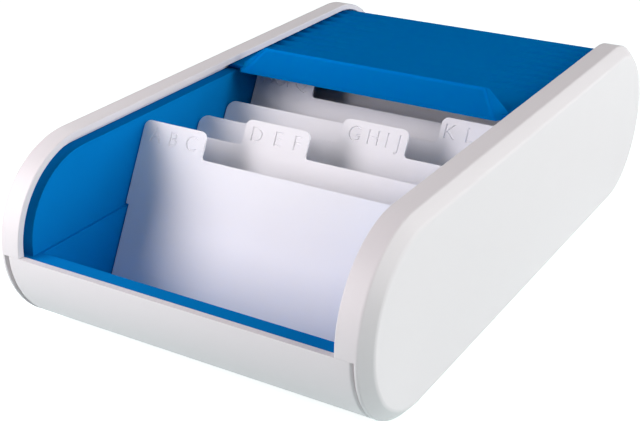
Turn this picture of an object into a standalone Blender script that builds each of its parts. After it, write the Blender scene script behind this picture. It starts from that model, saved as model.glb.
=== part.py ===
"""Roll-top business card box, modelled half open.

Metres, +Z up, front towards -Y, origin at the middle of the footprint on the desk.
The side view of the box is a stadium: straight top and bottom, half round ends.
Most sizes are given as an inset, the distance in from that outline.
"""

import math

import bmesh
import bpy
from mathutils import Vector

# Overall size
BOX_DEPTH = 0.242
BOX_HEIGHT = 0.0675
BOX_WIDTH = 0.141

# Clearances between pieces
SEAT_GAP = 0.0003
SLIDE_GAP = 0.0004

# Side panels
BEVEL_RUN = 0.0036
BEVEL_INSET = 0.0041
BEVEL_SOFT = 0.0007
PANEL_WALL = 0.0022
FLANGE_WIDTH = 0.0011
SEAM_GROOVE = 0.0013
RIM_THICK = 0.0024
RIM_OVERHANG = 0.0075
RIM_EDGE_SOFT = 0.0003
RAIL_THICK = 0.0015
RAIL_REACH = 0.0053

# Base shell
SHELL_WALL = 0.0022
APRON_RISE = 0.0007
SHELL_EDGE_SOFT = 0.0006
SHELL_EDGE_STEPS = 2

# Roll cover and its track
COVER_TOP_GAP = 0.0005
COVER_THICK = 0.0015
COVER_BITE = 0.0028
TRACK_HEIGHT = 0.0024
RIB_PITCH = 0.0066
RIB_GROOVE = 0.0008
RIB_GROOVE_DEPTH = 0.0009
RIB_CROWN = 0.0003
COVER_SPARE = 0.0073

# Cover lip, where it stands half open
LIP_FRONT_Y = -0.0002
LIP_BASE_DEPTH = 0.0285
LIP_RISE = 0.0075
LIP_CREST_BACK = 0.0074
LIP_BACK_RUN = 0.0230
LIP_CREST_RADIUS = 0.0006
LIP_FACE_HOLLOW = 0.0007
LIP_WALL = 0.0016
LIP_CREST_SETBACK = 0.0151
LIP_FOOT_SETBACK = 0.0039
LIP_CORNER_TOP = 0.0006
LIP_CORNER_SIDE = 0.0044
LIP_CORNER_BACK = 0.0056

# Inner tray
TRAY_WALL = 0.0015
TRAY_CLEARANCE = 0.0009
TRAY_SETBACK = 0.0014
LEDGE_DROP = 0.00095
LEDGE_WIDTH = 0.0013
FRONT_LEDGE_DEPTH = 0.0060
WELL_CURVE_SETBACK = 0.00925

# Index dividers
DIVIDER_COUNT = 8
FRONT_POCKET = 0.0298
REAR_POCKET = 0.0664
DIVIDER_THICK = 0.0008
DIVIDER_LEAN = math.radians(28)
DIVIDER_FOOT_GAP = 0.0005
DIVIDER_SIDE_GAP = 0.0005
DIVIDER_CORNER = 0.0040
TAB_CLEARANCE = 0.0024
TAB_RISE = 0.0086
TAB_CORNER = 0.0026
TAB_FILLET = 0.0012
TAB_LEFT_SHARES = (0.0, 0.272, 0.530, 0.791)
TAB_RIGHT_SHARES = (0.236, 0.505, 0.758, 1.0)
TAB_LETTERS = ("abc", "def", "ghij", "klm", "nopq", "rst", "uvw", "xyz")

# Steps in curves
QUARTER_STEPS = 12
CORNER_STEPS = 4
HOLLOW_STEPS = 5

# Decimal places to which corners that belong to several faces agree
SHARED_DIGITS = 7

# Worked out from the sizes above
END_RADIUS = BOX_HEIGHT / 2
ARC_CENTRE_Y = BOX_DEPTH / 2 - END_RADIUS
ARC_CENTRE_Z = BOX_HEIGHT / 2
SIDE_FACE_X = BOX_WIDTH / 2
RIDGE_X = SIDE_FACE_X - BEVEL_RUN
FLANGE_X = RIDGE_X - FLANGE_WIDTH
SHELL_HALF = FLANGE_X - SEAM_GROOVE
RIM_EDGE_X = RIDGE_X - RIM_OVERHANG
COVER_HALF = RIM_EDGE_X + COVER_BITE
FENCE_X = COVER_HALF + SLIDE_GAP
COVER_OUTER_INSET = RIM_THICK + COVER_TOP_GAP
COVER_INNER_INSET = COVER_OUTER_INSET + COVER_THICK
COVER_LENGTH = (ARC_CENTRE_Y + COVER_SPARE / 2) * 2 + math.pi * (END_RADIUS - COVER_INNER_INSET)
LIP_CREST_HALF = COVER_HALF - LIP_CREST_SETBACK
LIP_FOOT_HALF = COVER_HALF - LIP_FOOT_SETBACK
RAIL_TOP_INSET = RIM_THICK + TRACK_HEIGHT + SEAT_GAP
RAIL_GROOVE_INSET = RAIL_TOP_INSET + TRAY_WALL + SEAT_GAP * 2
RAIL_EDGE_X = FLANGE_X - RAIL_REACH
RAIL_END_INSET = RAIL_GROOVE_INSET + RAIL_THICK
FLANGE_END_X = FLANGE_X - SEAT_GAP * 2
SHELL_SEAT_INSET = SHELL_WALL + SEAT_GAP
LEDGE_HEIGHT = ARC_CENTRE_Z - LEDGE_DROP
APRON_HEIGHT = LEDGE_HEIGHT + APRON_RISE
TRAY_HALF = RIM_EDGE_X - TRAY_SETBACK
WELL_HALF = TRAY_HALF - LEDGE_WIDTH
WELL_RADIUS = END_RADIUS - WELL_CURVE_SETBACK
WELL_FLOOR = COVER_INNER_INSET + TRAY_CLEARANCE + TRAY_WALL
SHELL_INNER_Y = BOX_DEPTH / 2 - SHELL_WALL
WELL_END_Y = SHELL_INNER_Y - SEAT_GAP - FRONT_LEDGE_DEPTH
DIVIDER_FOOT_Y = FRONT_POCKET - WELL_END_Y
DIVIDER_PITCH = (WELL_END_Y * 2 - FRONT_POCKET - REAR_POCKET) / (DIVIDER_COUNT - 1)
DIVIDER_FOOT_Z = WELL_FLOOR + DIVIDER_FOOT_GAP
TAB_TOP = BOX_HEIGHT - COVER_INNER_INSET - TAB_CLEARANCE
DIVIDER_TOP = TAB_TOP - TAB_RISE

WHITE = ("white_plastic", (0.80, 0.80, 0.82, 1.0), 0.38, 0.0)
BLUE = ("blue_plastic", (0.0, 0.13, 0.40, 1.0), 0.42, 0.0)
FROSTED = ("frosted_plastic", (0.70, 0.73, 0.80, 1.0), 0.50, 0.0)


def clear_scene():
    """Remove whatever the open file holds."""
    for item in list(bpy.data.objects):
        bpy.data.objects.remove(item, do_unlink=True)


def plastic(node, finish):
    """A Principled BSDF material of its own for each sub-part."""
    kind, colour, roughness, metallic = finish
    material = bpy.data.materials.new(node + "_" + kind)
    material.use_nodes = True
    shader = material.node_tree.nodes["Principled BSDF"]
    shader.inputs["Base Color"].default_value = colour
    shader.inputs["Roughness"].default_value = roughness
    shader.inputs["Metallic"].default_value = metallic
    return material


def finish_object(node, bm, finish, smooth_angle=math.radians(35)):
    """Turn a bmesh into a named object with its material and shading."""
    bmesh.ops.recalc_face_normals(bm, faces=bm.faces)
    mesh = bpy.data.meshes.new(node)
    bm.to_mesh(mesh)
    bm.free()
    mesh.shade_smooth()
    mesh.set_sharp_from_angle(angle=smooth_angle)
    mesh.materials.append(plastic(node, finish))
    item = bpy.data.objects.new(node, mesh)
    bpy.context.collection.objects.link(item)
    return item


def arc(centre, radius, start, end, steps):
    """Points (y, z) on an arc, angles measured from +Y towards +Z."""
    points = []
    for k in range(steps + 1):
        angle = start + (end - start) * k / steps
        points.append((centre[0] + radius * math.cos(angle), centre[1] + radius * math.sin(angle)))
    return points


def stadium(inset):
    """The whole side outline, set in by a distance, as a closed loop of (y, z)."""
    radius = END_RADIUS - inset
    front = arc((-ARC_CENTRE_Y, ARC_CENTRE_Z), radius, math.radians(90), math.radians(270), QUARTER_STEPS * 2)
    rear = arc((ARC_CENTRE_Y, ARC_CENTRE_Z), radius, math.radians(-90), math.radians(90), QUARTER_STEPS * 2)
    return front + rear


def angle_at_height(height, radius):
    """Angle above the horizontal at which an end arc of this radius passes a height."""
    return math.asin((height - ARC_CENTRE_Z) / radius)


def lower_run(inset, height):
    """The part of the outline below a height, front to rear, as an open run of (y, z)."""
    radius = END_RADIUS - inset
    rise = angle_at_height(height, radius)
    half_turn = math.radians(180)
    front = arc((-ARC_CENTRE_Y, ARC_CENTRE_Z), radius, half_turn - rise, half_turn * 3 / 2, QUARTER_STEPS)
    rear = arc((ARC_CENTRE_Y, ARC_CENTRE_Z), radius, -half_turn / 2, rise, QUARTER_STEPS)
    return front + rear


def upper_run(inset, height):
    """The part of the outline above a height, front to rear, as an open run of (y, z)."""
    radius = END_RADIUS - inset
    rise = angle_at_height(height, radius)
    half_turn = math.radians(180)
    front = arc((-ARC_CENTRE_Y, ARC_CENTRE_Z), radius, half_turn - rise, half_turn / 2, QUARTER_STEPS)
    rear = arc((ARC_CENTRE_Y, ARC_CENTRE_Z), radius, half_turn / 2, rise, QUARTER_STEPS)
    return front + rear


def add_loop(bm, outline, x):
    """Vertices at one x for each (y, z) of an outline."""
    return [bm.verts.new((x, y, z)) for y, z in outline]


def skin(bm, one, other):
    """Quads between two closed loops of as many vertices."""
    count = len(one)
    for k in range(count):
        bm.faces.new((one[k], one[(k + 1) % count], other[(k + 1) % count], other[k]))


def prism(outline, half_width):
    """Closed solid: an outline in the side view, extruded evenly to both sides of the middle."""
    bm = bmesh.new()
    face = bm.faces.new(add_loop(bm, outline, -half_width))
    grown = bmesh.ops.extrude_face_region(bm, geom=[face])
    moved = [v for v in grown["geom"] if isinstance(v, bmesh.types.BMVert)]
    bmesh.ops.translate(bm, verts=moved, vec=Vector((half_width * 2, 0, 0)))
    bmesh.ops.recalc_face_normals(bm, faces=bm.faces)
    return bm


def hidden_tool(name, bm):
    """A solid that only cuts or adds to another."""
    mesh = bpy.data.meshes.new(name)
    bm.to_mesh(mesh)
    bm.free()
    tool = bpy.data.objects.new(name, mesh)
    tool.hide_render = True
    tool.display_type = "WIRE"
    bpy.context.collection.objects.link(tool)
    return tool


def join_with(item, tool, operation):
    """Boolean modifier with the exact solver."""
    change = item.modifiers.new(tool.name, "BOOLEAN")
    change.operation = operation
    change.solver = "EXACT"
    change.object = tool


def panel_section():
    """Section of a side panel as (inset, x), from the side face round the rim to the inner face."""
    bevel_end = (BEVEL_INSET, SIDE_FACE_X)
    soft_share = BEVEL_SOFT / BEVEL_INSET
    return [
        bevel_end,
        (BEVEL_INSET - BEVEL_SOFT, SIDE_FACE_X - BEVEL_RUN * soft_share / 2),
        (BEVEL_SOFT / 2, RIDGE_X + BEVEL_RUN * soft_share / 2),
        (0.0, RIDGE_X - BEVEL_SOFT / 2),
        (0.0, RIM_EDGE_X + RIM_EDGE_SOFT),
        (RIM_EDGE_SOFT, RIM_EDGE_X),
        (RIM_THICK, RIM_EDGE_X),
        (RIM_THICK, FENCE_X),
        (RIM_THICK + TRACK_HEIGHT, FENCE_X),
        (RIM_THICK + TRACK_HEIGHT, FLANGE_X),
        (RAIL_GROOVE_INSET, FLANGE_X),
        (RAIL_GROOVE_INSET, RAIL_EDGE_X),
        (RAIL_END_INSET, RAIL_EDGE_X),
        (RAIL_END_INSET, SIDE_FACE_X - PANEL_WALL),
    ]


def seat_cutter():
    """Clears the rim off the lower half of a panel, down to the seat of the base shell."""
    bm = bmesh.new()
    outside = lower_run(-SHELL_WALL, APRON_HEIGHT + SEAT_GAP)
    inside = lower_run(SHELL_SEAT_INSET, APRON_HEIGHT + SEAT_GAP)
    outline = outside + inside[::-1]
    near = add_loop(bm, outline, RIM_EDGE_X - RIM_THICK)
    far = add_loop(bm, outline, FLANGE_X)
    skin(bm, near, far)
    bm.faces.new(near)
    bm.faces.new(far)
    bmesh.ops.recalc_face_normals(bm, faces=bm.faces)
    return bm


def side_panel(node, side):
    """White cheek: side face, soft bevel, rim over the track, track fence and tray rail."""
    bm = bmesh.new()
    loops = [add_loop(bm, stadium(inset), x) for inset, x in panel_section()]
    for one, other in zip(loops, loops[1:]):
        skin(bm, one, other)
    bm.faces.new(loops[0])
    bm.faces.new(loops[-1])
    cutter = seat_cutter()
    if side < 0:
        for mesh in (bm, cutter):
            bmesh.ops.scale(mesh, vec=Vector((-1, 1, 1)), verts=mesh.verts)
            bmesh.ops.reverse_faces(mesh, faces=mesh.faces)
    bmesh.ops.recalc_face_normals(cutter, faces=cutter.faces)
    item = finish_object(node, bm, WHITE)
    join_with(item, hidden_tool(node + "_seat_cutter", cutter), "DIFFERENCE")
    return item


def base_shell():
    """White trough between the panels: front apron, floor and rear apron."""
    outline = lower_run(0.0, APRON_HEIGHT) + lower_run(SHELL_WALL, APRON_HEIGHT)[::-1]
    item = finish_object("base_shell", prism(outline, SHELL_HALF), WHITE)
    soft = item.modifiers.new("soft_edges", "BEVEL")
    soft.width = SHELL_EDGE_SOFT
    soft.segments = SHELL_EDGE_STEPS
    soft.limit_method = "ANGLE"
    soft.angle_limit = math.radians(40)
    return item


def well_run():
    """Inside of the card well in the side view, front ledge edge to rear ledge edge."""
    corner_y = WELL_END_Y - WELL_RADIUS
    corner_z = WELL_FLOOR + WELL_RADIUS
    front = arc((-corner_y, corner_z), WELL_RADIUS, math.radians(180), math.radians(270), QUARTER_STEPS)
    rear = arc((corner_y, corner_z), WELL_RADIUS, math.radians(-90), 0, QUARTER_STEPS)
    return [(-WELL_END_Y, LEDGE_HEIGHT)] + front + rear + [(WELL_END_Y, LEDGE_HEIGHT)]


def inner_tray():
    """Blue tray: one moulded skin for well, ledges, upper walls and cover rail, thickened outwards."""
    bm = bmesh.new()
    well = well_run()
    rail = upper_run(RAIL_TOP_INSET, LEDGE_HEIGHT)
    wall_y = WELL_END_Y
    rail_y = rail[-1][0]
    front_y = -(SHELL_INNER_Y - SEAT_GAP)
    strip_half = RAIL_EDGE_X - SEAT_GAP

    made = {}

    def vert(x, y, z):
        key = (round(x, SHARED_DIGITS), round(y, SHARED_DIGITS), round(z, SHARED_DIGITS))
        if key not in made:
            made[key] = bm.verts.new((x, y, z))
        return made[key]

    def strip(x_from, x_to, run):
        for (y0, z0), (y1, z1) in zip(run, run[1:]):
            corners = ((x_from, y0, z0), (x_to, y0, z0), (x_to, y1, z1), (x_from, y1, z1))
            bm.faces.new([vert(*corner) for corner in corners])

    def ledge(x_from, x_to, y_from, y_to):
        strip(x_from, x_to, [(y_from, LEDGE_HEIGHT), (y_to, LEDGE_HEIGHT)])

    strip(-WELL_HALF, WELL_HALF, well)
    columns = (-strip_half, -TRAY_HALF, -WELL_HALF, WELL_HALF, TRAY_HALF, strip_half)
    for x_from, x_to in zip(columns, columns[1:]):
        ledge(x_from, x_to, front_y, -rail_y)
    for x_from, x_to in zip(columns[1:-1], columns[2:-1]):
        ledge(x_from, x_to, -rail_y, -wall_y)
        ledge(x_from, x_to, wall_y, rail_y)

    for side in (-1, 1):
        ledge(side * WELL_HALF, side * TRAY_HALF, -wall_y, wall_y)
        bm.faces.new([vert(side * WELL_HALF, y, z) for y, z in well])
        sill = [(wall_y, LEDGE_HEIGHT), (-wall_y, LEDGE_HEIGHT)]
        bm.faces.new([vert(side * TRAY_HALF, y, z) for y, z in rail + sill])
        strip(side * TRAY_HALF, side * strip_half, rail)
        strip(side * strip_half, side * FLANGE_END_X, rail)

    item = finish_object("inner_tray", bm, BLUE)
    floor = min(item.data.polygons, key=lambda face: face.center.z)
    if floor.normal.z < 0:
        item.data.flip_normals()
    wall = item.modifiers.new("wall", "SOLIDIFY")
    wall.thickness = TRAY_WALL
    wall.offset = -1
    wall.use_even_offset = True
    return item


def track_point(along, inset):
    """Point (y, z) at a length along the cover's track, from the lip's rear edge back and round."""
    start_y = LIP_FRONT_Y + LIP_BASE_DEPTH + SEAT_GAP
    top_run = ARC_CENTRE_Y - start_y
    bend = math.pi * (END_RADIUS - COVER_INNER_INSET)
    radius = END_RADIUS - inset
    if along <= top_run:
        return start_y + along, BOX_HEIGHT - inset
    if along <= top_run + bend:
        angle = math.radians(90) - math.pi * (along - top_run) / bend
        return ARC_CENTRE_Y + radius * math.cos(angle), ARC_CENTRE_Z + radius * math.sin(angle)
    return ARC_CENTRE_Y - (along - top_run - bend), inset


def roll_cover():
    """Ribbed cover: slats joined by thin webs, along the flat, round the rear and under the tray."""
    outer = []
    inner = []
    count = int((COVER_LENGTH - LIP_BASE_DEPTH) / RIB_PITCH)
    groove_inset = COVER_OUTER_INSET + RIB_GROOVE_DEPTH
    for k in range(count):
        start = k * RIB_PITCH
        end = start + RIB_PITCH
        outer.append(track_point(start + RIB_GROOVE / 2, groove_inset))
        outer.append(track_point(start + RIB_GROOVE, COVER_OUTER_INSET + RIB_CROWN))
        outer.append(track_point((start * 2 + end + RIB_GROOVE) / 3, COVER_OUTER_INSET))
        outer.append(track_point((start + end * 2 + RIB_GROOVE) / 3, COVER_OUTER_INSET))
        outer.append(track_point(end, COVER_OUTER_INSET + RIB_CROWN))
        inner.append(track_point(start, COVER_INNER_INSET))
        inner.append(track_point((start + end) / 2, COVER_INNER_INSET))
    inner.append(track_point(count * RIB_PITCH, COVER_INNER_INSET))
    first = [track_point(0, groove_inset)]
    return finish_object("roll_cover", prism(first + outer + inner[::-1], COVER_HALF), BLUE)


def lip_outline():
    """Outside of the lip in the side view: hollowed face, rounded crest, long back slope."""
    base_z = BOX_HEIGHT - COVER_INNER_INSET
    top_z = BOX_HEIGHT - COVER_OUTER_INSET
    front = (LIP_FRONT_Y, base_z)
    crest = (LIP_FRONT_Y + LIP_CREST_BACK, top_z + LIP_RISE)
    rear_y = LIP_FRONT_Y + LIP_BACK_RUN
    run, rise = crest[0] - front[0], crest[1] - front[1]
    points = [front]
    for k in range(1, HOLLOW_STEPS):
        share = k / HOLLOW_STEPS
        sag = LIP_FACE_HOLLOW * math.sin(math.pi * share)
        points.append((front[0] + run * share + sag, front[1] + rise * share - sag))
    crest_centre = (crest[0], crest[1] - LIP_CREST_RADIUS)
    points += arc(crest_centre, LIP_CREST_RADIUS, math.radians(140), math.radians(70), CORNER_STEPS)
    return points + [(rear_y, top_z), (rear_y, base_z)]


def lip_hollow_outline():
    """Space under the lip in the side view, open below, one wall inside the outline."""
    base_z = BOX_HEIGHT - COVER_INNER_INSET
    top_z = BOX_HEIGHT - COVER_OUTER_INSET
    below_z = base_z - LIP_WALL
    front_y = LIP_FRONT_Y + LIP_WALL * 2
    rear_y = LIP_FRONT_Y + LIP_BACK_RUN - LIP_WALL * 4
    crest = (LIP_FRONT_Y + LIP_CREST_BACK + LIP_WALL / 2, top_z + LIP_RISE - LIP_WALL * 2)
    return [(front_y, below_z), (front_y, base_z), crest, (rear_y, base_z), (rear_y, below_z)]


def slanted_prism(outline, slope_half):
    """Closed solid from a side outline, whose half width at each height comes from a function."""
    bm = bmesh.new()
    near = [bm.verts.new((-slope_half(z), y, z)) for y, z in outline]
    far = [bm.verts.new((slope_half(z), y, z)) for y, z in outline]
    skin(bm, near, far)
    bm.faces.new(near)
    bm.faces.new(far)
    bmesh.ops.recalc_face_normals(bm, faces=bm.faces)
    return bm


def cut_corner(bm, through):
    """Cut off what lies outside the plane through three points, and close the cut."""
    normal = (through[1] - through[0]).cross(through[2] - through[0]).normalized()
    if normal.x * through[0].x < 0:
        normal.negate()
    cut = bmesh.ops.bisect_plane(
        bm,
        geom=list(bm.verts) + list(bm.edges) + list(bm.faces),
        plane_co=through[0],
        plane_no=normal,
        clear_outer=True,
    )
    edges = [element for element in cut["geom_cut"] if isinstance(element, bmesh.types.BMEdge)]
    bmesh.ops.contextual_create(bm, geom=edges)
    bmesh.ops.recalc_face_normals(bm, faces=bm.faces)


def cover_lip():
    """Raised finger lip with slanted ends, hollow below, on a plate that runs in both tracks."""
    base_z = BOX_HEIGHT - COVER_INNER_INSET
    top_z = BOX_HEIGHT - COVER_OUTER_INSET
    slope = (LIP_FOOT_HALF - LIP_CREST_HALF) / (top_z + LIP_RISE - base_z)

    def outer_half(z):
        return LIP_FOOT_HALF - (z - base_z) * slope

    def inner_half(z):
        return outer_half(z) - LIP_WALL * 2

    plate_y = LIP_FRONT_Y + LIP_WALL * 2
    plate = [
        (plate_y, base_z),
        (plate_y, top_z),
        (LIP_FRONT_Y + LIP_BASE_DEPTH, top_z),
        (LIP_FRONT_Y + LIP_BASE_DEPTH, base_z),
    ]
    item = finish_object("cover_lip", prism(plate, COVER_HALF), BLUE)
    crest_z = top_z + LIP_RISE
    wedge_bm = slanted_prism(lip_outline(), outer_half)
    for way in (-1, 1):
        cut_corner(wedge_bm, (
            Vector((way * (outer_half(crest_z) - LIP_CORNER_TOP), LIP_FRONT_Y + LIP_CREST_BACK, crest_z)),
            Vector((way * outer_half(base_z), LIP_FRONT_Y + LIP_CORNER_BACK, base_z)),
            Vector((way * (outer_half(base_z) - LIP_CORNER_SIDE), LIP_FRONT_Y, base_z)),
        ))
    wedge = hidden_tool("cover_lip_wedge", wedge_bm)
    hollow = hidden_tool("cover_lip_hollow", slanted_prism(lip_hollow_outline(), inner_half))
    join_with(item, wedge, "UNION")
    join_with(item, hollow, "DIFFERENCE")
    return item


def rounded(corner, before, after, radius, steps):
    """Points that round a corner of an outline of (u, v) pairs."""
    corner, before, after = Vector(corner), Vector(before), Vector(after)
    to_before = (before - corner).normalized()
    to_after = (after - corner).normalized()
    half_angle = to_before.angle(to_after) / 2
    reach = radius / math.tan(half_angle)
    start = corner + to_before * reach
    end = corner + to_after * reach
    centre = corner + (to_before + to_after).normalized() * (radius / math.sin(half_angle))
    first = start - centre
    turn = first.angle_signed(end - centre)
    points = []
    for k in range(steps + 1):
        angle = -turn * k / steps
        spin = Vector((
            first.x * math.cos(angle) - first.y * math.sin(angle),
            first.x * math.sin(angle) + first.y * math.cos(angle),
        ))
        points.append(tuple(centre + spin))
    return points


def divider_outline(place):
    """Outline (x, up) of a divider lying flat, foot at zero, with its tab in one of four places."""
    lean = math.cos(DIVIDER_LEAN)
    wide = TRAY_HALF - DIVIDER_SIDE_GAP
    narrow = WELL_HALF - DIVIDER_SIDE_GAP
    shoulder = (LEDGE_HEIGHT + SEAT_GAP + DIVIDER_THICK / 2 * math.sin(DIVIDER_LEAN) - DIVIDER_FOOT_Z) / lean
    body_top = (DIVIDER_TOP - DIVIDER_FOOT_Z) / lean
    tab_top = (TAB_TOP - DIVIDER_FOOT_Z) / lean
    left = -wide + wide * 2 * TAB_LEFT_SHARES[place]
    right = -wide + wide * 2 * TAB_RIGHT_SHARES[place]
    outline = [(-narrow, 0.0, 0.0), (narrow, 0.0, 0.0), (narrow, shoulder, 0.0), (wide, shoulder, 0.0)]
    if right < wide:
        outline += [(wide, body_top, DIVIDER_CORNER), (right, body_top, TAB_FILLET)]
    outline += [(right, tab_top, TAB_CORNER), (left, tab_top, TAB_CORNER)]
    if left > -wide:
        outline += [(left, body_top, TAB_FILLET), (-wide, body_top, DIVIDER_CORNER)]
    outline += [(-wide, shoulder, 0.0), (-narrow, shoulder, 0.0)]
    points = []
    count = len(outline)
    for k, (u, v, radius) in enumerate(outline):
        if radius:
            points += rounded((u, v), outline[k - 1][:2], outline[(k + 1) % count][:2], radius, CORNER_STEPS)
        else:
            points.append((u, v))
    return points


def divider(index):
    """Frosted index divider, standing on its foot and leaning back on the ledges."""
    node = "divider_" + TAB_LETTERS[index]
    bm = bmesh.new()
    half = DIVIDER_THICK / 2
    outline = divider_outline(index % len(TAB_LEFT_SHARES))
    near = [bm.verts.new((u, -half, v)) for u, v in outline]
    far = [bm.verts.new((u, half, v)) for u, v in outline]
    skin(bm, near, far)
    bm.faces.new(near)
    bm.faces.new(far)
    item = finish_object(node, bm, FROSTED)
    item.location = (0.0, DIVIDER_FOOT_Y + index * DIVIDER_PITCH, DIVIDER_FOOT_Z)
    item.rotation_euler = (-DIVIDER_LEAN, 0.0, 0.0)
    return item


def main():
    """Build every sub-part in its place."""
    clear_scene()
    side_panel("left_panel", -1)
    side_panel("right_panel", 1)
    base_shell()
    inner_tray()
    roll_cover()
    cover_lip()
    for index in range(DIVIDER_COUNT):
        divider(index)


main()
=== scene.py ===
"""Looks of a roll-top business card box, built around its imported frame.

Every size is in metres in the frame's own axes: +Z up, +Y to the rear, the box's footprint
centred on the origin. The side view of the box is a stadium, and an inset is the distance in
from that outline.
"""

from __future__ import annotations

import logging
import math
from dataclasses import dataclass, field
from enum import Enum
from typing import Callable, ClassVar, Iterable, Sequence

import bmesh
import bpy
from mathutils import Matrix, Vector

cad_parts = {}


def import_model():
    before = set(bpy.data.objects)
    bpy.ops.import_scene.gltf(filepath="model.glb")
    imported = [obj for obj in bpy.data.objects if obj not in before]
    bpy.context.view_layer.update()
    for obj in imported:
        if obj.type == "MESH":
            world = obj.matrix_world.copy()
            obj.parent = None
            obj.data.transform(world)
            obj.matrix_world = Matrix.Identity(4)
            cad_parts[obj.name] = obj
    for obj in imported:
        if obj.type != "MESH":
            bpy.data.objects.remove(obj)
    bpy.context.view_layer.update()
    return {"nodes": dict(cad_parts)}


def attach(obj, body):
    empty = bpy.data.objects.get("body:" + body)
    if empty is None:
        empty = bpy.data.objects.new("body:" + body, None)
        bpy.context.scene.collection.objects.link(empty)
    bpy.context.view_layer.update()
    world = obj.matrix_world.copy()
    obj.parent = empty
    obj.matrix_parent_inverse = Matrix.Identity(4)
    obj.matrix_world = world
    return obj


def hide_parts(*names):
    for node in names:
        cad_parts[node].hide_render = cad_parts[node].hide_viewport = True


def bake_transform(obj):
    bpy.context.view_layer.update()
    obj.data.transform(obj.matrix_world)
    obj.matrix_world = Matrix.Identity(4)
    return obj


LOG = logging.getLogger("card_box")
Point = tuple[float, float, float]
Colour = tuple[float, float, float]
# Distance within which two vertices are one.
MERGE = 1e-6
# Height of a capital of the default font at a text size of 1.
CAPITAL_HEIGHT = 0.73


class Side(Enum):
    """The two cheeks of the box, with the sign of their x."""

    LEFT = -1
    RIGHT = 1


class Body(Enum):
    """Bodies of the frame that the pieces ride on."""

    BOX = "box"
    COVER = "cover"


class Slot(Enum):
    """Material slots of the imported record."""

    WHITE = "white_plastic"
    BLUE = "blue_plastic"
    FROSTED = "frosted_plastic"


class Light(Enum):
    """Where a lamp stands: degrees from the front towards the right, and above the floor."""

    HIGH_LEFT = (-40.0, 35.0)
    HIGH_RIGHT = (25.0, 35.0)
    HIGH_SIDE = (110.0, 35.0)
    LOW_SIDE = (90.0, 15.0)
    LOW_REAR = (135.0, 15.0)
    LOW_LEFT = (-30.0, 15.0)
    FILL_LEFT = (-115.0, 15.0)

    @property
    def way(self) -> Vector:
        """Unit vector from the object to the lamp.

        Returns:
            The vector.
        """
        round_by, up_by = (math.radians(angle) for angle in self.value)
        flat = math.cos(up_by)
        return Vector((math.sin(round_by) * flat, -math.cos(round_by) * flat, math.sin(up_by)))


@dataclass(frozen=True)
class Corner:
    """One corner of a profile.

    Attributes:
        u: First coordinate of the profile.
        v: Second coordinate of the profile.
        cut: How far from the corner its rounding starts, 0 for a sharp one.
    """

    u: float
    v: float
    cut: float = 0.0


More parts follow.
